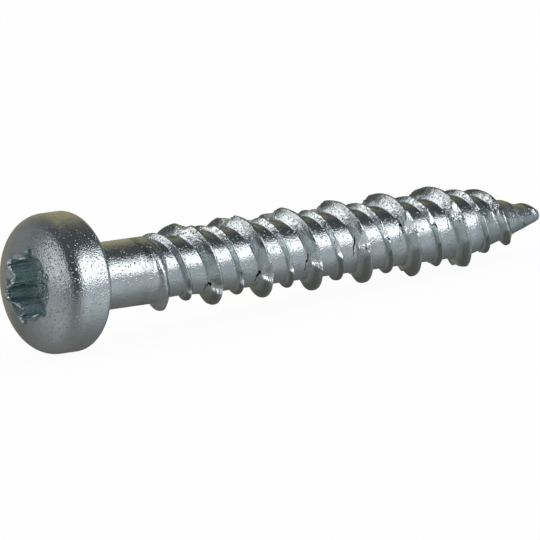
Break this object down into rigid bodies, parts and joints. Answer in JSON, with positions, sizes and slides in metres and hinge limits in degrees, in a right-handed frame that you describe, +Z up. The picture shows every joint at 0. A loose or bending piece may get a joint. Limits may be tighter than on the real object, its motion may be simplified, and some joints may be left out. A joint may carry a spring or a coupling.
{
  "type": "concrete screw",
  "caption": "Pan-head concrete screw with a six-lobe recess, a plain shank, and a notched high thread and a low thread that run side by side to a blunt point.",
  "frame": {"origin": "centre of the bearing face under the head, on the screw's axis", "axes": "+X from the head to the point along the lying screw, +Z up, with the floor below the origin. The screw's own axis drops 3.6 degrees below +X towards the point, because the head's rim and a thread crest both touch the floor."},
  "size_m": [0.055, 0.012, 0.0122],
  "materials": {
    "zinc": "bright zinc plated"
  },
  "bodies": {
    "root": {"screw": "zinc"}
  },
  "joints": []
}
